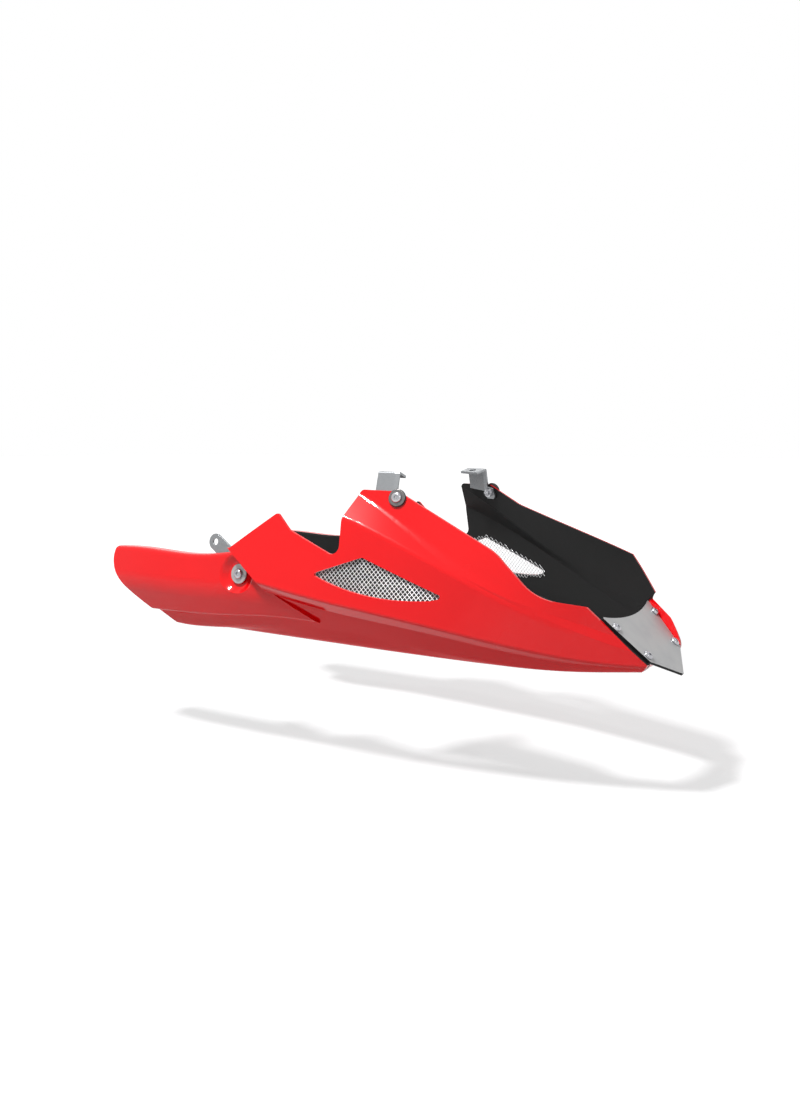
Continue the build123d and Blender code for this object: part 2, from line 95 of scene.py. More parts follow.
class ShaderGroup:
    """A shader node group with named sockets, built once and placed in several materials."""

    def __init__(self, name: str) -> None:
        """Start an empty group.

        Args:
            name: The group's name in the file.
        """
        self.tree = bpy.data.node_groups.new(name, "ShaderNodeTree")
        self.inside = self.tree.nodes.new("NodeGroupInput")
        self.outside = self.tree.nodes.new("NodeGroupOutput")

    def socket(self, name: str, kind: str, out: bool = False, value: float | None = None) -> None:
        """Add a named socket to the group's interface.

        Args:
            name: Socket name.
            kind: Socket type, such as NodeSocketFloat.
            out: Whether it is an output.
            value: Default value of a float input.
        """
        made = self.tree.interface.new_socket(name, in_out="OUTPUT" if out else "INPUT", socket_type=kind)
        if value is not None:
            made.default_value = value

    def node(self, kind: str, **values: object) -> bpy.types.Node:
        """Add a node inside the group and set its plain attributes.

        Args:
            kind: Node type.
            **values: Attributes to set on it.

        Returns:
            The new node.
        """
        made = self.tree.nodes.new(kind)
        for key, value in values.items():
            setattr(made, key, value)
        return made

    def link(self, source: bpy.types.NodeSocket, target: bpy.types.NodeSocket) -> None:
        """Join two sockets inside the group.

        Args:
            source: The output.
            target: The input.
        """
        self.tree.links.new(source, target)


def make_ripple_group() -> bpy.types.NodeTree:
    """Group of soft unevenness: a height for bumps and a mask for dusty or worn areas.

    Returns:
        The node tree.
    """
    group = ShaderGroup("soft_ripple")
    group.socket("Vector", "NodeSocketVector")
    group.socket("Fine", "NodeSocketFloat", value=400.0)
    group.socket("Broad", "NodeSocketFloat", value=14.0)
    group.socket("Height", "NodeSocketFloat", out=True)
    group.socket("Mask", "NodeSocketFloat", out=True)
    fine = group.node("ShaderNodeTexNoise")
    fine.inputs["Detail"].default_value = 2.0
    broad = group.node("ShaderNodeTexNoise")
    broad.inputs["Detail"].default_value = 5.0
    ramp = group.node("ShaderNodeMapRange")
    ramp.inputs["From Min"].default_value = 0.42
    ramp.inputs["From Max"].default_value = 0.7
    for noise, name in ((fine, "Fine"), (broad, "Broad")):
        group.link(group.inside.outputs["Vector"], noise.inputs["Vector"])
        group.link(group.inside.outputs[name], noise.inputs["Scale"])
    group.link(broad.outputs["Fac"], ramp.inputs["Value"])
    group.link(fine.outputs["Fac"], group.outside.inputs["Height"])
    group.link(ramp.outputs["Result"], group.outside.inputs["Mask"])
    return group.tree


def make_brushed_group() -> bpy.types.NodeTree:
    """Group of fine parallel scratches, as left by a brush or a mill.

    Returns:
        The node tree.
    """
    group = ShaderGroup("brushed_streaks")
    group.socket("Vector", "NodeSocketVector")
    group.socket("Along", "NodeSocketVector")
    group.socket("Height", "NodeSocketFloat", out=True)
    group.socket("Mask", "NodeSocketFloat", out=True)
    stretch = group.node("ShaderNodeVectorMath", operation="MULTIPLY")
    streaks = group.node("ShaderNodeTexNoise")
    streaks.inputs["Scale"].default_value = 1.0
    streaks.inputs["Detail"].default_value = 3.0
    ramp = group.node("ShaderNodeMapRange")
    ramp.inputs["From Min"].default_value = 0.3
    ramp.inputs["From Max"].default_value = 0.7
    group.link(group.inside.outputs["Vector"], stretch.inputs[0])
    group.link(group.inside.outputs["Along"], stretch.inputs[1])
    group.link(stretch.outputs["Vector"], streaks.inputs["Vector"])
    group.link(streaks.outputs["Fac"], group.outside.inputs["Height"])
    group.link(streaks.outputs["Fac"], ramp.inputs["Value"])
    group.link(ramp.outputs["Result"], group.outside.inputs["Mask"])
    return group.tree


@dataclass(frozen=True)
class Finish:
    """A surface finish whose colour and roughness vary a little over the piece."""

    name: str
    color: tuple[float, float, float]
    worn: tuple[float, float, float]
    rough: tuple[float, float]
    metallic: float = 0.0
    coat: float = 0.0
    coat_rough: float = 0.03
    specular: float = 0.5
    fine: float = 400.0
    broad: float = 14.0
    along: tuple[float, float, float] | None = None
    bump: float = 0.05
    bump_depth: float = 0.0002

    def build(self) -> bpy.types.Material:
        """Make the material, or find it if it is already made.

        Returns:
            The material.
        """
        found = bpy.data.materials.get(self.name)
        if found is not None:
            return found
        material = bpy.data.materials.new(self.name)
        material.use_nodes = True
        tree = material.node_tree
        shader = tree.nodes["Principled BSDF"]
        place = tree.nodes.new("ShaderNodeTexCoord")
        detail = tree.nodes.new("ShaderNodeGroup")
        if self.along is None:
            detail.node_tree = Groups.ripple()
            detail.inputs["Fine"].default_value = self.fine
            detail.inputs["Broad"].default_value = self.broad
        else:
            detail.node_tree = Groups.brushed()
            detail.inputs["Along"].default_value = self.along
        tint = tree.nodes.new("ShaderNodeMix")
        tint.data_type = "RGBA"
        tint.inputs["A"].default_value = (*self.color, 1.0)
        tint.inputs["B"].default_value = (*self.worn, 1.0)
        rough = tree.nodes.new("ShaderNodeMapRange")
        rough.inputs["To Min"].default_value = self.rough[0]
        rough.inputs["To Max"].default_value = self.rough[1]
        bump = tree.nodes.new("ShaderNodeBump")
        bump.inputs["Strength"].default_value = self.bump
        bump.inputs["Distance"].default_value = self.bump_depth
        tree.links.new(place.outputs["Object"], detail.inputs["Vector"])
        tree.links.new(detail.outputs["Mask"], tint.inputs["Factor"])
        tree.links.new(detail.outputs["Mask"], rough.inputs["Value"])
        tree.links.new(detail.outputs["Height"], bump.inputs["Height"])
        tree.links.new(tint.outputs["Result"], shader.inputs["Base Color"])
        tree.links.new(rough.outputs["Result"], shader.inputs["Roughness"])
        tree.links.new(bump.outputs["Normal"], shader.inputs["Normal"])
        shader.inputs["Metallic"].default_value = self.metallic
        shader.inputs["Coat Weight"].default_value = self.coat
        shader.inputs["Coat Roughness"].default_value = self.coat_rough
        shader.inputs["Specular IOR Level"].default_value = self.specular
        return material


class Groups:
    """The shader groups that finishes share, each made when first asked for."""

    made: dict[str, bpy.types.NodeTree] = {}

    @classmethod
    def ripple(cls) -> bpy.types.NodeTree:
        """The soft unevenness group.

        Returns:
            The node tree.
        """
        if "ripple" not in cls.made:
            cls.made["ripple"] = make_ripple_group()
        return cls.made["ripple"]

    @classmethod
    def brushed(cls) -> bpy.types.NodeTree:
        """The parallel scratches group.

        Returns:
            The node tree.
        """
        if "brushed" not in cls.made:
            cls.made["brushed"] = make_brushed_group()
        return cls.made["brushed"]


RED_PAINT = Finish(
    "red_paint", (0.86, 0.002, 0.005), (0.82, 0.002, 0.005), (0.24, 0.28), coat=0.55, coat_rough=0.05,
    specular=0.06, fine=900.0, broad=6.0, bump=0.03, bump_depth=0.0001,
)
BLACK_INSIDE = Finish(
    "black_inside", (0.006, 0.006, 0.006), (0.011, 0.010, 0.010), (0.5, 0.65), specular=0.25, fine=700.0,
    bump=0.25, bump_depth=0.0003,
)
SATIN_PLATE = Finish(
    "satin_plate", (0.46, 0.46, 0.46), (0.42, 0.42, 0.43), (0.42, 0.5), metallic=0.35, specular=0.4,
    fine=1800.0, broad=40.0, bump=0.08, bump_depth=0.0001,
)
DARK_EDGE = Finish(
    "dark_edge", (0.006, 0.006, 0.007), (0.014, 0.014, 0.014), (0.45, 0.6), specular=0.15, fine=1500.0,
    broad=90.0,
)
SILVER_MESH = Finish(
    "silver_mesh", (0.74, 0.74, 0.75), (0.58, 0.58, 0.59), (0.28, 0.42), metallic=0.6, fine=2000.0,
    broad=120.0,
)
BRUSHED_STEEL = Finish(
    "brushed_steel", (0.36, 0.37, 0.38), (0.22, 0.23, 0.24), (0.26, 0.4), metallic=1.0,
    along=(2600.0, 2600.0, 60.0), bump=0.15, bump_depth=0.0001,
)
ZINC = Finish(
    "zinc_plate", (0.48, 0.48, 0.50), (0.34, 0.34, 0.37), (0.18, 0.3), metallic=1.0, fine=2600.0,
    broad=180.0,
)
# Painted shade: the hex sockets are the same metal as the heads and get this near-black finish because the
# recess lies in shade.
SOCKET_PAINTED_SHADE = Finish(
    "dark_socket", (0.03, 0.03, 0.032), (0.015, 0.015, 0.016), (0.4, 0.55), metallic=0.5, fine=2600.0,
    broad=180.0,
)
DARK_WASHER = Finish(
    "dark_washer", (0.20, 0.19, 0.19), (0.13, 0.12, 0.12), (0.25, 0.38), metallic=1.0, fine=2600.0,
    broad=140.0,
)
PALE_WASHER = Finish(
    "pale_washer", (0.44, 0.43, 0.43), (0.36, 0.35, 0.35), (0.42, 0.55), metallic=0.5, fine=2600.0,
    broad=140.0,
)
SOFT_RUBBER = Finish(
    "soft_rubber", (0.010, 0.009, 0.009), (0.022, 0.020, 0.020), (0.6, 0.75), specular=0.2, fine=2200.0,
    broad=200.0,
)


# Mesh helpers


def merged_copy(node: bpy.types.Object, name: str) -> bpy.types.Object:
    """Copy a solid's mesh into a new object with its doubled vertices merged.

    Args:
        node: The CAD node.
        name: Name of the copy.

    Returns:
        The new object, at the origin.
    """
    mesh = bpy.data.meshes.new(name)
    work = bmesh.new()
    work.from_mesh(node.data)
    bmesh.ops.remove_doubles(work, verts=work.verts, dist=MERGE)
    bmesh.ops.dissolve_degenerate(work, edges=work.edges, dist=MERGE / 2)
    work.to_mesh(mesh)
    work.free()
    made = bpy.data.objects.new(name, mesh)
    bpy.context.scene.collection.objects.link(made)
    return made


def shade_by_angle(piece: bpy.types.Object, degrees: float = CRISP) -> None:
    """Shade a piece smooth, with its sharp edges kept crisp.

    Args:
        piece: The object.
        degrees: Edges that turn by more than this stay crisp.
    """
    piece.data.shade_smooth()
    piece.data.set_sharp_from_angle(angle=math.radians(degrees))


def soften_edges(piece: bpy.types.Object, width: float, degrees: float = 40.0) -> None:
    """Round a piece's sharp edges and bake the rounding into its mesh.

    Args:
        piece: The object.
        width: Rounding width.
        degrees: Edges that turn by more than this are rounded.
    """
    rounding = piece.modifiers.new("edge_rounding", "BEVEL")
    rounding.width = width
    rounding.segments = 2
    rounding.limit_method = "ANGLE"
    rounding.angle_limit = math.radians(degrees)
    rounding.use_clamp_overlap = True
    bake_modifiers(piece)


def take_normals(
    piece: bpy.types.Object,
    node: bpy.types.Object,
    turn: float = 20.0,
    pull: float = 0.15,
    agree: float = 0.5,
) -> None:
    """Give a piece the smooth normals of its solid's surfaces, except on its rounded edges.

    Args:
        piece: The dressed object.
        node: The CAD node that it copies.
        turn: A face that stands off the solid's face by more degrees than this is a rounded edge.
        pull: How far towards its face's middle a corner is looked up, so that it stays on one surface.
        agree: How well a normal has to agree with its face to be used there.
    """
    solid = node.data
    tree = BVHTree.FromPolygons([v.co for v in solid.vertices], [p.vertices[:] for p in solid.polygons])
    solid_normals = [Vector(corner.vector) for corner in solid.corner_normals]
    mesh = piece.data
    given = [Vector(corner.vector) for corner in mesh.corner_normals]
    least = math.cos(math.radians(turn))
    shared: dict[int, list[Vector]] = {}
    edge_faces = []
    for face in mesh.polygons:
        found = {}
        for loop in face.loop_indices:
            corner = mesh.loops[loop].vertex_index
            at, _, index, _ = tree.find_nearest(mesh.vertices[corner].co.lerp(face.center, pull))
            below = solid.polygons[index]
            if face.normal.dot(below.normal) < least:
                break
            corners = [solid.vertices[v].co for v in below.vertices]
            smooth = barycentric_transform(at, *corners, *[solid_normals[i] for i in below.loop_indices])
            if smooth.dot(face.normal) > agree * smooth.length:
                found[loop] = smooth.normalized()
        if len(found) < len(face.loop_indices):
            edge_faces.append(face.index)
            continue
        for loop, smooth in found.items():
            given[loop] = smooth
            shared.setdefault(mesh.loops[loop].vertex_index, []).append(smooth)
    for index in edge_faces:
        face = mesh.polygons[index]
        for loop in face.loop_indices:
            near = shared.get(mesh.loops[loop].vertex_index, [])
            close = [smooth for smooth in near if smooth.dot(face.normal) > agree]
            if close:
                given[loop] = max(close, key=face.normal.dot)
    mesh.normals_split_custom_set(given)


def bake_modifiers(piece: bpy.types.Object) -> None:
    """Turn a piece's modified shape into its plain mesh and drop the modifiers.

    Args:
        piece: The object.
    """
    graph = bpy.context.evaluated_depsgraph_get()
    mesh = bpy.data.meshes.new_from_object(piece.evaluated_get(graph))
    old = piece.data
    mesh.name = old.name
    piece.modifiers.clear()
    piece.data = mesh
    bpy.data.meshes.remove(old)


class ShapeTree:
    """A geometry node tree with named inputs, for what repeats over a piece."""

    def __init__(self, name: str) -> None:
        """Start a tree that takes and gives geometry.

        Args:
            name: The tree's name.
        """
        self.tree = bpy.data.node_groups.new(name, "GeometryNodeTree")
        self.keys: dict[str, str] = {}
        self.socket("Geometry", "NodeSocketGeometry")
        self.tree.interface.new_socket("Geometry", in_out="OUTPUT", socket_type="NodeSocketGeometry")
        self.inside = self.tree.nodes.new("NodeGroupInput")
        self.outside = self.tree.nodes.new("NodeGroupOutput")

    def socket(self, name: str, kind: str) -> None:
        """Add a named input and remember its identifier.

        Args:
            name: Input name.
            kind: Socket type.
        """
        self.keys[name] = self.tree.interface.new_socket(name, in_out="INPUT", socket_type=kind).identifier

    def node(self, kind: str, **values: object) -> bpy.types.Node:
        """Add a node and set its plain attributes.

        Args:
            kind: Node type.
            **values: Attributes to set on it.

        Returns:
            The new node.
        """
        made = self.tree.nodes.new(kind)
        for key, value in values.items():
            setattr(made, key, value)
        return made

    def link(self, source: bpy.types.NodeSocket, target: bpy.types.NodeSocket) -> None:
        """Join two sockets of the tree.

        Args:
            source: The output.
            target: The input.
        """
        self.tree.links.new(source, target)

    def close(self, shape: bpy.types.NodeSocket) -> None:
        """End the tree by making its copies real and giving them the finish.

        Args:
            shape: The geometry that the tree gives.
        """
        real = self.node("GeometryNodeRealizeInstances")
        coat = self.node("GeometryNodeSetMaterial")
        self.link(shape, real.inputs["Geometry"])
        self.link(real.outputs["Geometry"], coat.inputs["Geometry"])
        self.link(self.inside.outputs["Finish"], coat.inputs["Material"])
        self.link(coat.outputs["Geometry"], self.outside.inputs["Geometry"])

    def grow(self, piece: bpy.types.Object, **values: object) -> None:
        """Run the tree on a piece with its inputs set, and keep the result as plain mesh.

        Args:
            piece: The object that carries the tree.
            **values: Input values by socket name.
        """
        work = piece.modifiers.new(self.tree.name, "NODES")
        work.node_group = self.tree
        for name, value in values.items():
            work[self.keys[name]] = value
        bake_modifiers(piece)


def make_strand_tree() -> ShapeTree:
    """Tree that turns drawn lines into round wire strands.

    Returns:
        The tree.
    """
    made = ShapeTree("wire_strands")
    made.socket("Radius", "NodeSocketFloat")
    made.socket("Sides", "NodeSocketInt")
    made.socket("Finish", "NodeSocketMaterial")
    lines = made.node("GeometryNodeMeshToCurve")
    ring = made.node("GeometryNodeCurvePrimitiveCircle", mode="RADIUS")
    tube = made.node("GeometryNodeCurveToMesh")
    tube.inputs["Fill Caps"].default_value = True
    smooth = made.node("GeometryNodeSetShadeSmooth")
    made.link(made.inside.outputs["Geometry"], lines.inputs["Mesh"])
    made.link(made.inside.outputs["Radius"], ring.inputs["Radius"])
    made.link(made.inside.outputs["Sides"], ring.inputs["Resolution"])
    made.link(lines.outputs["Curve"], tube.inputs["Curve"])
    made.link(ring.outputs["Curve"], tube.inputs["Profile Curve"])
    made.link(tube.outputs["Mesh"], smooth.inputs["Geometry"])
    made.close(smooth.outputs["Geometry"])
    return made


def make_stud_tree() -> ShapeTree:
    """Tree that sets a copy of one fastener on each point, along that point's axis.

    Returns:
        The tree.
    """
    made = ShapeTree("set_fasteners")
    made.socket("Model", "NodeSocketObject")
    made.socket("Finish", "NodeSocketMaterial")
    model = made.node("GeometryNodeObjectInfo")
    axis = made.node("GeometryNodeInputNamedAttribute", data_type="FLOAT_VECTOR")
    axis.inputs["Name"].default_value = "axis"
    turn = made.node("GeometryNodeInputNamedAttribute", data_type="FLOAT")
    turn.inputs["Name"].default_value = "turn"
    spin = made.node("FunctionNodeAxisAngleToRotation")
    spin.inputs["Axis"].default_value = (0.0, 0.0, 1.0)
    aim = made.node("FunctionNodeAlignRotationToVector", axis="Z")
    place = made.node("GeometryNodeInstanceOnPoints")
    made.link(made.inside.outputs["Model"], model.inputs["Object"])
    made.link(turn.outputs["Attribute"], spin.inputs["Angle"])
    made.link(spin.outputs["Rotation"], aim.inputs["Rotation"])
    made.link(axis.outputs["Attribute"], aim.inputs["Vector"])
    made.link(made.inside.outputs["Geometry"], place.inputs["Points"])
    made.link(model.outputs["Geometry"], place.inputs["Instance"])
    made.link(aim.outputs["Rotation"], place.inputs["Rotation"])
    made.close(place.outputs["Instances"])
    return made


def settle(piece: bpy.types.Object, slot: Slot, *nodes: str) -> None:
    """Fix a finished piece to the part in place of its solids.

    Args:
        piece: The finished object.
        slot: The record's material slot; not used.
        *nodes: The CAD nodes that it stands for.
    """
    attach(piece, "root")
    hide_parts(*nodes)
    log.info("%s: %d faces", piece.name, len(piece.data.polygons))


# The pan's pieces


@dataclass
class SideShell:
    """One moulded half shell, painted outside and black inside."""

    side: Side
    heart_height: float = 0.09
    inside_dot: float = 0.3
    rim_sum: float = 0.3472
    rim_top: float = 0.068
    lift: float = 0.0002
    edge_round: float = 0.0007
    square_edge: float = 50.0
    crisp: float = 40.0

    def build(self, nodes: dict[str, bpy.types.Object]) -> bpy.types.Object:
        """Copy the solid, round its edges and paint it.

        Args:
            nodes: CAD nodes by name.

        Returns:
            The finished piece.
        """
        node = f"side_shell_{self.side.word}"
        piece = merged_copy(nodes[node], f"painted_shell_{self.side.word}")
        soften_edges(piece, self.edge_round, self.square_edge)
        shade_by_angle(piece, self.crisp)
        take_normals(piece, nodes[node])
        self.paint(piece)
        settle(piece, Slot.SHELL, node)
        return piece

    def paint(self, piece: bpy.types.Object) -> None:
        """Paint the shell red outside, and black where it looks at the pan's middle or lies behind the skin.

        Args:
            piece: The shell.
        """
        skin = BVHTree.FromPolygons(
            [vert.co for vert in piece.data.vertices], [face.vertices[:] for face in piece.data.polygons]
        )
        outward = Vector((0.0, self.side.value, 0.0))
        piece.data.materials.clear()
        piece.data.materials.append(RED_PAINT.build())
        piece.data.materials.append(BLACK_INSIDE.build())
        for face in piece.data.polygons:
            at = face.center
            toward = Vector((0.0, -at.y, self.heart_height - at.z)).normalized()
            inside = face.normal.dot(toward) > self.inside_dot
            behind = skin.ray_cast(at + self.lift * (face.normal + outward), outward)[0] is not None
            on_rim = at.x + at.z > self.rim_sum and at.z < self.rim_top
            face.material_index = int((inside or behind) and not on_rim)


@dataclass
class FrontPlate:
    """Flat shield plate that joins the two halves at the nose."""

    edge_round: float = 0.0003
    edge_dot: float = 0.6
    facing: Vector = field(default_factory=lambda: Vector((1.0, 0.0, 1.0)).normalized())

    def build(self, nodes: dict[str, bpy.types.Object]) -> bpy.types.Object:
        """Copy the solid, round its edges, and finish its face and its edge.

        Args:
            nodes: CAD nodes by name.

        Returns:
            The finished piece.
        """
        piece = merged_copy(nodes["front_plate"], "satin_front_plate")
        soften_edges(piece, self.edge_round)
        shade_by_angle(piece)
        take_normals(piece, nodes["front_plate"])
        piece.data.materials.append(SATIN_PLATE.build())
        piece.data.materials.append(DARK_EDGE.build())
        for face in piece.data.polygons:
            face.material_index = int(abs(face.normal.dot(self.facing)) < self.edge_dot)
        settle(piece, Slot.PLATE, "front_plate")
        return piece


@dataclass
class VentMesh:
    """Fine diamond mesh behind one side vent, on the curve of the solid sheet."""

    side: Side
    pitch: tuple[float, float] = (0.0050, 0.0028)
    wire: float = 0.00042
    sides: int = 6
    margin: float = 0.001

    def build(self, nodes: dict[str, bpy.types.Object], strands: ShapeTree) -> bpy.types.Object:
        """Draw the zigzag strands within the sheet's outline and turn them into wire.

        Args:
            nodes: CAD nodes by name.
            strands: The tree that thickens lines.

        Returns:
            The finished piece.
        """
        node = f"vent_grille_{self.side.word}"
        sheet = np.empty(3 * len(nodes[node].data.vertices))
        nodes[node].data.vertices.foreach_get("co", sheet)
        sheet = sheet.reshape(-1, 3)
        outline = self.hull(sheet[:, [0, 2]])
        terms = np.linalg.lstsq(self.powers(sheet[:, 0], sheet[:, 2]), sheet[:, 1], rcond=None)[0]
        points: list[tuple[float, float, float]] = []
        lines: list[tuple[int, int]] = []
        low, high = sheet.min(axis=0), sheet.max(axis=0)
        half_pitch, row_pitch = self.pitch[0] / 2, self.pitch[1]
        for row in range(int((high[2] - low[2]) / row_pitch) + 1):
            joined = False
            for column in range(int((high[0] - low[0]) / half_pitch) + 1):
                x = low[0] + column * half_pitch
                z = low[2] + row_pitch * (row + (0.5 if (row + column) % 2 == 0 else -0.5))
                inside = self.within(outline, x, z)
                if inside:
                    points.append((x, float((self.powers(x, z) @ terms).item()), z))
                    if joined:
                        lines.append((len(points) - 2, len(points) - 1))
                joined = inside
        mesh = bpy.data.meshes.new(f"vent_mesh_{self.side.word}")
        mesh.from_pydata(points, lines, [])
        piece = bpy.data.objects.new(mesh.name, mesh)
        bpy.context.scene.collection.objects.link(piece)
        strands.grow(piece, Radius=self.wire, Sides=self.sides, Finish=SILVER_MESH.build())
        settle(piece, Slot.MESH, node)
        return piece

    @staticmethod
    def powers(x: np.ndarray | float, z: np.ndarray | float) -> np.ndarray:
        """Terms of the smooth surface that follows the sheet.

        Args:
            x: Places along the pan.
            z: Their heights.

        Returns:
            One row of terms for each place.
        """
        x, z = np.atleast_1d(x), np.atleast_1d(z)
        return np.column_stack([np.ones_like(x), x, z, x * x, x * z, z * z, x ** 3, x * x * z])

    @staticmethod
    def hull(flat: np.ndarray) -> np.ndarray:
        """Convex outline of points in the side view, counter-clockwise.

        Args:
            flat: The points.

        Returns:
            The outline's corners.
        """
        ordered = sorted(map(tuple, flat))
        chains = []
        for run in (ordered, ordered[::-1]):
            chain: list[tuple[float, float]] = []
            for point in run:
                while len(chain) > 1:
                    (ax, az), (bx, bz) = chain[-2:]
                    if (bx - ax) * (point[1] - az) - (bz - az) * (point[0] - ax) > 0:
                        break
                    chain.pop()
                chain.append(point)
            chains += chain[:-1]
        return np.array(chains)

    def within(self, outline: np.ndarray, x: float, z: float) -> bool:
        """Whether a point lies inside the outline, clear of its edge by the margin.

        Args:
            outline: The outline's corners.
            x: The point's place along the pan.
            z: Its height.

        Returns:
            True if it does.
        """
        start, end = outline, np.roll(outline, -1, axis=0)
        along = end - start
        across = along[:, 0] * (z - start[:, 1]) - along[:, 1] * (x - start[:, 0])
        return bool((across / np.hypot(along[:, 0], along[:, 1]) > self.margin).all())


@dataclass
class ScrewSet:
    """Domed socket screws of one node, all copies of one turned shape."""

    node: str
    head_r: float
    head_h: float
    bolt_r: float = 0.003
    flats: float = 0.004
    deep: float = 0.0018
    lip: float = 0.0002
    chamfer: float = 0.0004
    crown: float = 0.3
    turn_step: float = 0.7
    segments: int = 48
    dome_steps: int = 8

    def build(self, nodes: dict[str, bpy.types.Object], studs: ShapeTree) -> bpy.types.Object:
        """Find the seats on the solids and set a screw on each.

        Args:
            nodes: CAD nodes by name.
            studs: The tree that sets copies on points.

        Returns:
            The finished piece.
        """
        seats = self.seats(nodes[self.node])
        length = max(seat[2] for seat in seats)
        model = self.model(length)
        mesh = bpy.data.meshes.new(f"set_{self.node}")
        mesh.from_pydata([tuple(at) for at, _, _ in seats], [], [])
        mesh.attributes.new("axis", "FLOAT_VECTOR", "POINT")
        mesh.attributes.new("turn", "FLOAT", "POINT")
        for index, (_, way, _) in enumerate(seats):
            mesh.attributes["axis"].data[index].vector = way
            mesh.attributes["turn"].data[index].value = self.turn_step * index
        piece = bpy.data.objects.new(mesh.name, mesh)
        bpy.context.scene.collection.objects.link(piece)
        studs.grow(piece, Model=model, Finish=ZINC.build())
        shade_by_angle(piece)
        # The sockets get painted shade: a dark finish inside the recess of each head.
        self.darken_sockets(piece, len(model.data.polygons))
        shape = model.data
        bpy.data.objects.remove(model)
        bpy.data.meshes.remove(shape)
        settle(piece, Slot.FASTENER, self.node)
        return piece

    def darken_sockets(self, piece: bpy.types.Object, count: int) -> None:
        """Give the socket of every screw a dark finish, painted shade for the recess that light hardly
        reaches.

        Args:
            piece: The set screws, one after the other.
            count: Faces of one screw: its socket's sides come first, its socket's floor last but one.
        """
        piece.data.materials.append(SOCKET_PAINTED_SHADE.build())
        for face in piece.data.polygons:
            turn = face.index % count
            if turn < self.segments or turn == count - 2:
                face.material_index = 1

    def seats(self, node: bpy.types.Object) -> list[tuple[Vector, Vector, float]]:
        """Middle of each head's underside, the way the head faces, and the shank's length.

        Args:
            node: The CAD node with one solid for each screw.

        Returns:
            Place, axis and length for each screw.
        """
        work = bmesh.new()
        work.from_mesh(node.data)
        bmesh.ops.remove_doubles(work, verts=work.verts, dist=MERGE)
        left = set(work.verts)
        found = []
        while left:
            island: set[bmesh.types.BMVert] = set()
            waiting = [next(iter(left))]
            while waiting:
                vert = waiting.pop()
                if vert not in island:
                    island.add(vert)
                    waiting += [edge.other_vert(vert) for edge in vert.link_edges]
            left -= island
            found.append(self.seat({face for vert in island for face in vert.link_faces}))
        work.free()
        return sorted(found, key=lambda seat: tuple(round(value, 5) for value in seat[0]))

    @staticmethod
    def seat(faces: set[bmesh.types.BMFace]) -> tuple[Vector, Vector, float]:
        """Place, axis and length of one screw, from the flat faces that look away from its head.

        Args:
            faces: All faces of its solid.

        Returns:
            Place, axis and length.
        """
        shares: dict[tuple[float, ...], float] = {}
        for face in faces:
            key = tuple(round(value, 2) for value in face.normal)
            shares[key] = shares.get(key, 0.0) + face.calc_area()
        way = Vector(max(shares, key=shares.get)).normalized()
        flat = [face for face in faces if face.normal.dot(way) > FLAT_DOT]
        axis = -sum((face.normal * face.calc_area() for face in flat), Vector()).normalized()
        area = sum(face.calc_area() for face in flat)
        middle = sum((face.calc_center_median() * face.calc_area() for face in flat), Vector()) / area
        heights = [face.calc_center_median().dot(axis) for face in flat]
        place = middle + axis * (max(heights) - middle.dot(axis))
        return place, axis, max(heights) - min(heights)

    def model(self, length: float) -> bpy.types.Object:
        """Turn one screw about Z, its head resting on the origin.

        Args:
            length: Length of the shank.

        Returns:
            The model object.
        """
        half, lip, crown = self.flats / 2, self.lip, self.crown * self.head_h
        rings = [(half, self.head_h - self.deep, True), (half, self.head_h - lip, True)]
        rings += [(half + lip, self.head_h, True)]
        for share in np.linspace(0.0, math.pi / 2, self.dome_steps):
            reach = self.head_r * (0.5 + 0.5 * math.sin(share))
            rings.append((reach, crown + (self.head_h - crown) * math.cos(share), False))
        rings += [(self.head_r, lip, False), (self.head_r - lip, 0.0, False), (self.bolt_r, 0.0, False)]
        rings += [(self.bolt_r, self.chamfer - length, False), (self.bolt_r - self.chamfer, -length, False)]
        work = bmesh.new()
        loops = [self.ring(work, *ring) for ring in rings]
        for upper, lower in zip(loops, loops[1:]):
            for index in range(self.segments):
                after = (index + 1) % self.segments
                work.faces.new((upper[index], lower[index], lower[after], upper[after]))
        work.faces.new(loops[0])
        work.faces.new(loops[-1][::-1])
        mesh = bpy.data.meshes.new(f"one_of_{self.node}")
        work.to_mesh(mesh)
        work.free()
        made = bpy.data.objects.new(mesh.name, mesh)
        bpy.context.scene.collection.objects.link(made)
        return made

    def ring(
        self, work: bmesh.types.BMesh, reach: float, height: float, six: bool
    ) -> list[bmesh.types.BMVert]:
        """One ring of corners round the screw, round or with six flats.

        Args:
            work: The mesh that takes the corners.
            reach: Radius, or half the width across the flats.
            height: Height of the ring.
            six: Whether it has six flats.

        Returns:
            The corners in order.
        """
        corners = []
        for index in range(self.segments):
            angle = math.tau * index / self.segments
            bent = (angle + math.pi / 6) % (math.pi / 3) - math.pi / 6
            radius = reach / math.cos(bent) if six else reach
            corners.append(work.verts.new((radius * math.cos(angle), radius * math.sin(angle), height)))
        return corners


@dataclass
class PlainPiece:
    """A bracket, nut or washer that keeps its solid's shape, with rounded edges and its own finish."""

    node: str
    finish: Finish
    slot: Slot
    edge_round: float = 0.0003

    def build(self, nodes: dict[str, bpy.types.Object]) -> bpy.types.Object:
        """Copy the solid, round its edges and finish it.

        Args:
            nodes: CAD nodes by name.

        Returns:
            The finished piece.
        """
        piece = merged_copy(nodes[self.node], f"dressed_{self.node}")
        soften_edges(piece, self.edge_round)
        shade_by_angle(piece)
        take_normals(piece, nodes[self.node])
        piece.data.materials.append(self.finish.build())
        settle(piece, self.slot, self.node)
        return piece


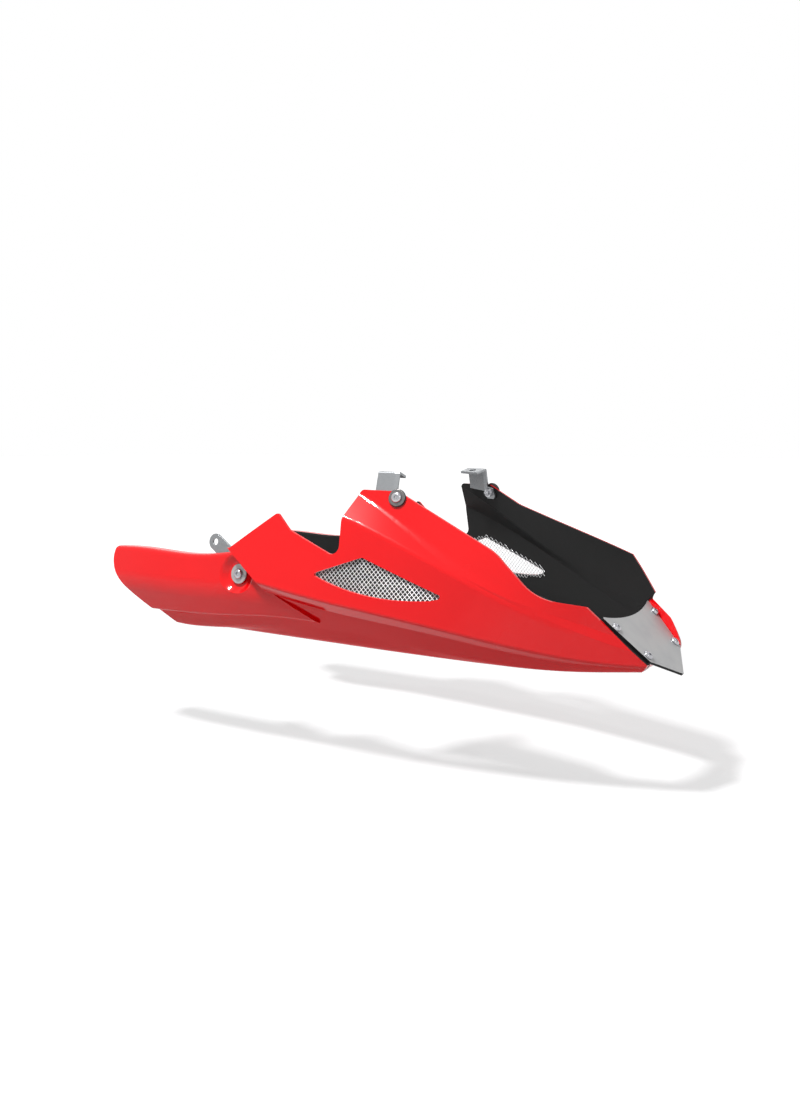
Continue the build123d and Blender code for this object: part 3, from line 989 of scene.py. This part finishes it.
@dataclass(frozen=True)
class Lamp:
    """A square soft lamp: its place, its aim, the side of its square and its power in watts."""

    name: str
    at: tuple[float, float, float]
    aim: tuple[float, float, float]
    size: float
    watts: float

    def build(self) -> None:
        """Hang the lamp."""
        data = bpy.data.lights.new(self.name, "AREA")
        data.shape = "SQUARE"
        data.size = self.size
        data.energy = self.watts
        lamp = bpy.data.objects.new(self.name, data)
        lamp.location = self.at
        way = Vector(self.aim) - Vector(self.at)
        lamp.rotation_euler = way.to_track_quat("-Z", "Y").to_euler()
        bpy.context.scene.collection.objects.link(lamp)


LAMPS = (
    Lamp("key_lamp", (-0.25, -1.05, 1.85), (0.0, -0.1, 0.1), 0.24, 50.0),
    Lamp("front_lamp", (2.2, -0.9, 1.3), (0.2, 0.0, 0.1), 0.8, 6.0),
    Lamp("glint_lamp", (-0.2, -0.7, 2.2), (0.0, -0.1, 0.1), 0.08, 3.0),
    Lamp("left_lamp", (-1.0, 1.5, 2.3), (-0.1, 0.1, 0.1), 0.8, 12.0),
)


@dataclass
class Studio:
    """Pale floor, soft lamps, white surroundings and the camera."""

    floor_drop: float = 0.13
    floor_size: float = 60.0
    floor_color: tuple[float, float, float] = (0.45, 0.45, 0.455)
    floor_rough: float = 0.8
    floor_specular: float = 0.1
    glow_near: tuple[float, float] = (0.5, 0.6)
    glow_far: tuple[float, float] = (2.4, 1.0)
    ambient: float = 0.16
    camera_at: tuple[float, float, float] = (0.66255, -1.040, 0.24251)
    azimuth: float = 32.9
    pitch: float = 5.8
    focal_px: float = 1000.0
    sensor: float = 36.0
    clip: tuple[float, float] = (0.02, 60.0)
    frame_px: tuple[int, int] = (800, 1096)

    def build(self) -> None:
        """Set up everything round the part."""
        self.surround()
        self.floor()
        for lamp in LAMPS:
            lamp.build()
        self.camera()
        bpy.context.scene.view_settings.view_transform = "Standard"

    @staticmethod
    def seen(tree: bpy.types.NodeTree) -> bpy.types.NodeSocket:
        """One where a surface is seen by the camera, in a mirror or through glass, else nought.

        Args:
            tree: The shader tree to add the nodes to.

        Returns:
            The socket with the answer.
        """
        path = tree.nodes.new("ShaderNodeLightPath")
        either = path.outputs["Is Camera Ray"]
        for name in ("Is Glossy Ray", "Is Transmission Ray"):
            pick = tree.nodes.new("ShaderNodeMath")
            pick.operation = "MAXIMUM"
            tree.links.new(either, pick.inputs[0])
            tree.links.new(path.outputs[name], pick.inputs[1])
            either = pick.outputs["Value"]
        return either

    def surround(self) -> None:
        """White where it is seen, and gentle grey as light."""
        world = bpy.data.worlds.new("studio_surround")
        world.use_nodes = True
        tree = world.node_tree
        plain = tree.nodes["Background"]
        plain.inputs["Color"].default_value = (1.0, 1.0, 1.0, 1.0)
        plain.inputs["Strength"].default_value = self.ambient
        white = tree.nodes.new("ShaderNodeBackground")
        white.inputs["Color"].default_value = (1.0, 1.0, 1.0, 1.0)
        white.inputs["Strength"].default_value = 1.0
        mix = tree.nodes.new("ShaderNodeMixShader")
        tree.links.new(self.seen(tree), mix.inputs["Fac"])
        tree.links.new(plain.outputs["Background"], mix.inputs[1])
        tree.links.new(white.outputs["Background"], mix.inputs[2])
        tree.links.new(mix.outputs["Shader"], tree.nodes["World Output"].inputs["Surface"])
        bpy.context.scene.world = world

    def floor(self) -> None:
        """A wide pale floor below the part that turns white towards the distance."""
        mesh = bpy.data.meshes.new("pale_floor")
        reach = self.floor_size / 2
        corners = [(-reach, -reach), (reach, -reach), (reach, reach), (-reach, reach)]
        mesh.from_pydata([(x, y, -self.floor_drop) for x, y in corners], [], [(0, 1, 2, 3)])
        floor = bpy.data.objects.new("pale_floor", mesh)
        bpy.context.scene.collection.objects.link(floor)
        material = bpy.data.materials.new("pale_floor")
        material.use_nodes = True
        tree = material.node_tree
        shader = tree.nodes["Principled BSDF"]
        shader.inputs["Base Color"].default_value = (*self.floor_color, 1.0)
        shader.inputs["Roughness"].default_value = self.floor_rough
        shader.inputs["Specular IOR Level"].default_value = self.floor_specular
        shader.inputs["Emission Color"].default_value = (1.0, 1.0, 1.0, 1.0)
        place = tree.nodes.new("ShaderNodeTexCoord")
        far = tree.nodes.new("ShaderNodeVectorMath")
        far.operation = "LENGTH"
        glow = tree.nodes.new("ShaderNodeMapRange")
        glow.interpolation_type = "SMOOTHSTEP"
        glow.inputs["From Min"].default_value = self.glow_near[0]
        glow.inputs["To Min"].default_value = self.glow_near[1]
        glow.inputs["From Max"].default_value = self.glow_far[0]
        glow.inputs["To Max"].default_value = self.glow_far[1]
        shown = tree.nodes.new("ShaderNodeMath")
        shown.operation = "MULTIPLY"
        tree.links.new(place.outputs["Object"], far.inputs[0])
        tree.links.new(far.outputs["Value"], glow.inputs["Value"])
        tree.links.new(glow.outputs["Result"], shown.inputs[0])
        tree.links.new(self.seen(tree), shown.inputs[1])
        tree.links.new(shown.outputs["Value"], shader.inputs["Emission Strength"])
        mesh.materials.append(material)

    def camera(self) -> None:
        """A camera at the photograph's viewing angle."""
        data = bpy.data.cameras.new("photo_camera")
        data.sensor_width = self.sensor
        data.lens = self.focal_px / max(self.frame_px) * data.sensor_width
        data.clip_start, data.clip_end = self.clip
        camera = bpy.data.objects.new("photo_camera", data)
        turn, dip = math.radians(self.azimuth), math.radians(self.pitch)
        back = Vector((math.sin(turn) * math.cos(dip), -math.cos(turn) * math.cos(dip), math.sin(dip)))
        camera.location = self.camera_at
        camera.rotation_euler = (-back).to_track_quat("-Z", "Y").to_euler()
        bpy.context.scene.collection.objects.link(camera)
        bpy.context.scene.camera = camera


def plain_pieces() -> list[PlainPiece]:
    """The pieces that keep their solids' shapes.

    Returns:
        One entry for each node.
    """
    made = [
        PlainPiece(f"{place}_bracket_{side.word}", BRUSHED_STEEL, Slot.BRACKET)
        for place in ("top", "rear")
        for side in Side
    ]
    made.append(PlainPiece("fin_washers", DARK_WASHER, Slot.FASTENER, 0.0008))
    made.append(PlainPiece("blade_washers", PALE_WASHER, Slot.FASTENER))
    for place in ("fin", "blade"):
        made.append(PlainPiece(f"{place}_soft_washers", SOFT_RUBBER, Slot.RUBBER))
    made += [PlainPiece(f"{place}_nuts", ZINC, Slot.FASTENER, 0.0002) for place in ("plate", "fin", "blade")]
    return made


def main() -> None:
    """Load the part, dress it and light it."""
    logging.basicConfig(level=logging.INFO, format="%(name)s %(message)s")
    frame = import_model()
    nodes = frame["nodes"]
    for side in Side:
        SideShell(side).build(nodes)
    FrontPlate().build(nodes)
    strands, studs = make_strand_tree(), make_stud_tree()
    for side in Side:
        VentMesh(side).build(nodes, strands)
    ScrewSet("plate_screws", 0.00525, 0.0033).build(nodes, studs)
    ScrewSet("fin_screws", 0.006, 0.0036).build(nodes, studs)
    ScrewSet("blade_screws", 0.006, 0.0036).build(nodes, studs)
    for piece in plain_pieces():
        piece.build(nodes)
    Studio().build()


if __name__ == "__main__":
    main()
